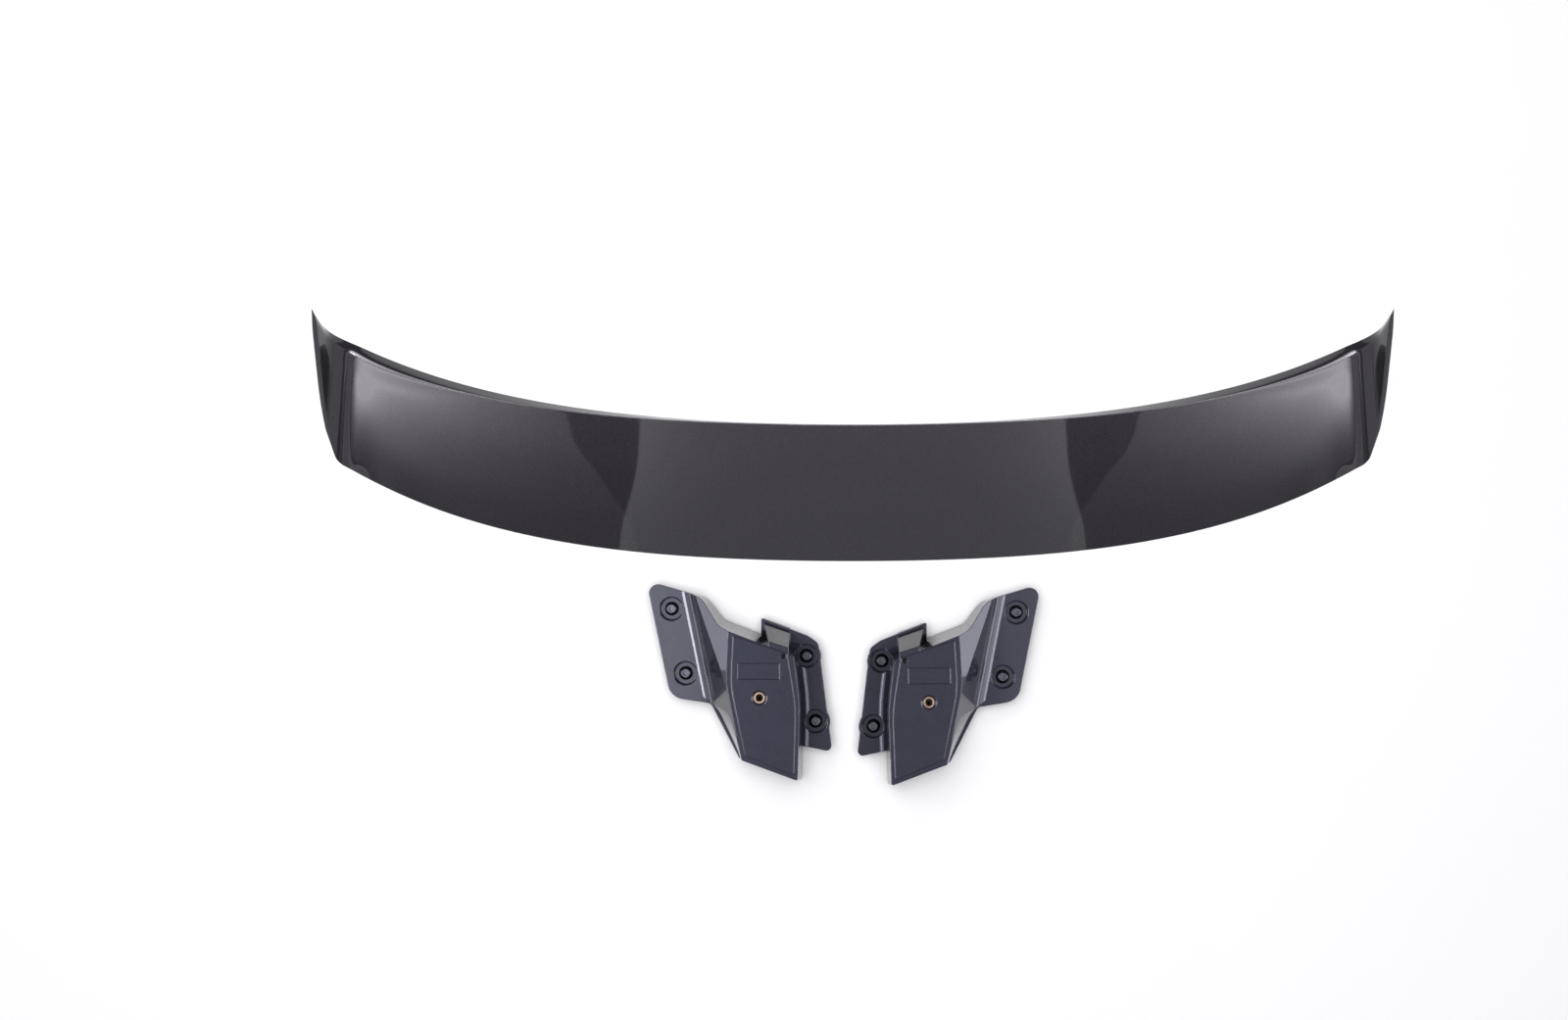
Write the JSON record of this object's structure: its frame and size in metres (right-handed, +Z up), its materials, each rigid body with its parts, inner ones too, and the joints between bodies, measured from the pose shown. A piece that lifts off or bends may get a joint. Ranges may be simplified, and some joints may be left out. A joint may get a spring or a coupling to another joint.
{
  "type": "rear spoiler",
  "caption": "Rear spoiler set laid flat: a swept dark-grey blade with upturned ends, and a left and a right mounting stand with bolts.",
  "frame": {"origin": "centre of the whole set's box, on the floor", "axes": "+X along the blade's span, +Y towards the blade's leading edge, +Z up from the floor"},
  "size_m": [1.073, 0.4778, 0.0696],
  "materials": {
    "blade_paint": "gloss metallic paint with clear coat",
    "stand_plastic": "gloss dark blue-grey paint",
    "brass": "turned",
    "black_steel": "black oxide"
  },
  "bodies": {
    "root": {"blade": "blade_paint", "blade_insert_left": "brass", "blade_insert_right": "brass", "left_stand": "stand_plastic", "left_bush": "brass", "left_bolt_1": "black_steel", "left_bolt_2": "black_steel", "left_bolt_3": "black_steel", "left_bolt_4": "black_steel", "right_stand": "stand_plastic", "right_bush": "brass", "right_bolt_1": "black_steel", "right_bolt_2": "black_steel", "right_bolt_3": "black_steel", "right_bolt_4": "black_steel"}
  },
  "joints": []
}
